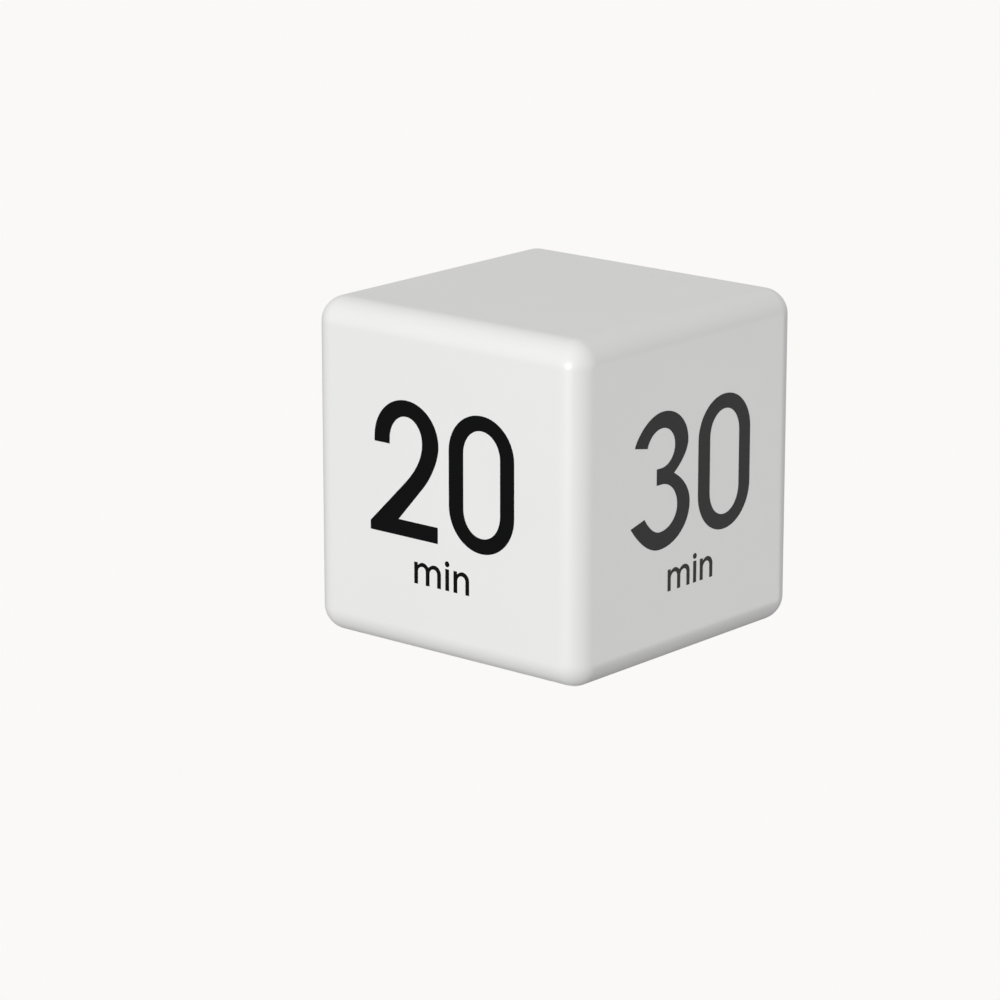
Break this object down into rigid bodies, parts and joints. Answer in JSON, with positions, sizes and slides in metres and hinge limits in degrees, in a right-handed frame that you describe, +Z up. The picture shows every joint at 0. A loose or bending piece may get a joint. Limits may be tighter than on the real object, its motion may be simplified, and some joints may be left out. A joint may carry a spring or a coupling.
{
  "type": "kitchen timer",
  "caption": "Electronic cube timer: a rounded white cube with minutes printed on its side faces, a display under its blank top, and a battery door and slide switches underneath.",
  "frame": {"origin": "middle of the flat underside, on the surface that the cube stands on", "axes": "+Z up through the blank display face, -Y out of the face with 20 min, +X out of the face with 30 min"},
  "size_m": [0.065, 0.065, 0.065],
  "materials": {
    "white_abs": "moulded, fine matt texture",
    "print_ink": "pad-printed black ink",
    "grey_plastic": "moulded, fine matt texture",
    "black_plastic": "moulded",
    "circuit_board": "green solder mask",
    "nickel_plate": "nickel plated",
    "zinc_screw": "zinc plated",
    "brass": "rolled",
    "piezo_ceramic": "silvered ceramic",
    "diffuser_film": "translucent film",
    "cell_wrap": "shrink film",
    "wire_red": "PVC insulation",
    "wire_black": "PVC insulation",
    "ribbon_grey": "PVC insulation"
  },
  "bodies": {
    "case": {"outer_shell": "white_abs", "base_cover": "white_abs", "door_hinge_pin": "nickel_plate", "cover_screw_1": "zinc_screw", "cover_screw_2": "zinc_screw", "cover_screw_3": "zinc_screw", "cover_screw_4": "zinc_screw", "board_screw_1": "zinc_screw", "board_screw_2": "zinc_screw", "board_screw_3": "zinc_screw", "board_screw_4": "zinc_screw", "switch_board_screw_1": "zinc_screw", "switch_board_screw_2": "zinc_screw", "battery_a": "cell_wrap", "battery_b": "cell_wrap", "bridge_contact": "nickel_plate", "negative_contact": "nickel_plate", "positive_contact": "nickel_plate", "bridge_spring": "nickel_plate", "negative_spring": "nickel_plate", "battery_lead_red": "wire_red", "battery_lead_black": "wire_black", "buzzer_lead_1": "wire_red", "buzzer_lead_2": "wire_black", "power_switch_frame": "nickel_plate", "power_switch_base": "black_plastic", "sound_switch_frame": "nickel_plate", "sound_switch_base": "black_plastic", "switch_board": "circuit_board", "main_board": "circuit_board", "buzzer_disc": "brass", "buzzer_ceramic": "piezo_ceramic", "led_display": "black_plastic", "display_diffuser": "diffuser_film", "controller_chip": "black_plastic", "display_driver_chip": "black_plastic", "clock_crystal": "nickel_plate", "supply_capacitor": "black_plastic", "tilt_can_1": "nickel_plate", "tilt_can_2": "nickel_plate", "tilt_can_3": "nickel_plate", "tilt_can_4": "nickel_plate", "tilt_base_1": "black_plastic", "tilt_base_2": "black_plastic", "tilt_base_3": "black_plastic", "tilt_base_4": "black_plastic", "ribbon_cable": "ribbon_grey"},
    "door": {"battery_door": "white_abs"},
    "power_slider": {"power_switch_cap": "grey_plastic", "power_switch_actuator": "black_plastic"},
    "sound_slider": {"sound_switch_cap": "grey_plastic", "sound_switch_actuator": "black_plastic"},
    "ball_1": {"tilt_ball_1": "brass"},
    "ball_2": {"tilt_ball_2": "brass"},
    "ball_3": {"tilt_ball_3": "brass"},
    "ball_4": {"tilt_ball_4": "brass"}
  },
  "joints": [
    {"name": "door_hinge", "type": "hinge", "parent": "case", "child": "door", "pos_m": [0, 0.0226, 0.0015], "axis": [1, 0, 0], "range_deg": [0, 105]},
    {"name": "power_slide", "type": "slide", "parent": "case", "child": "power_slider", "axis": [1, 0, 0], "range_m": [0, 0.002]},
    {"name": "sound_slide", "type": "slide", "parent": "case", "child": "sound_slider", "axis": [1, 0, 0], "range_m": [-0.002, 0.002]},
    {"name": "ball_1_roll", "type": "slide", "parent": "case", "child": "ball_1", "axis": [1, 0, 0], "range_m": [-0.0013, 0.0013]},
    {"name": "ball_2_roll", "type": "slide", "parent": "case", "child": "ball_2", "axis": [0, 1, 0], "range_m": [-0.0013, 0.0013]},
    {"name": "ball_3_roll", "type": "slide", "parent": "case", "child": "ball_3", "axis": [-1, 0, 0], "range_m": [-0.0013, 0.0013]},
    {"name": "ball_4_roll", "type": "slide", "parent": "case", "child": "ball_4", "axis": [0, -1, 0], "range_m": [-0.0013, 0.0013]}
  ]
}
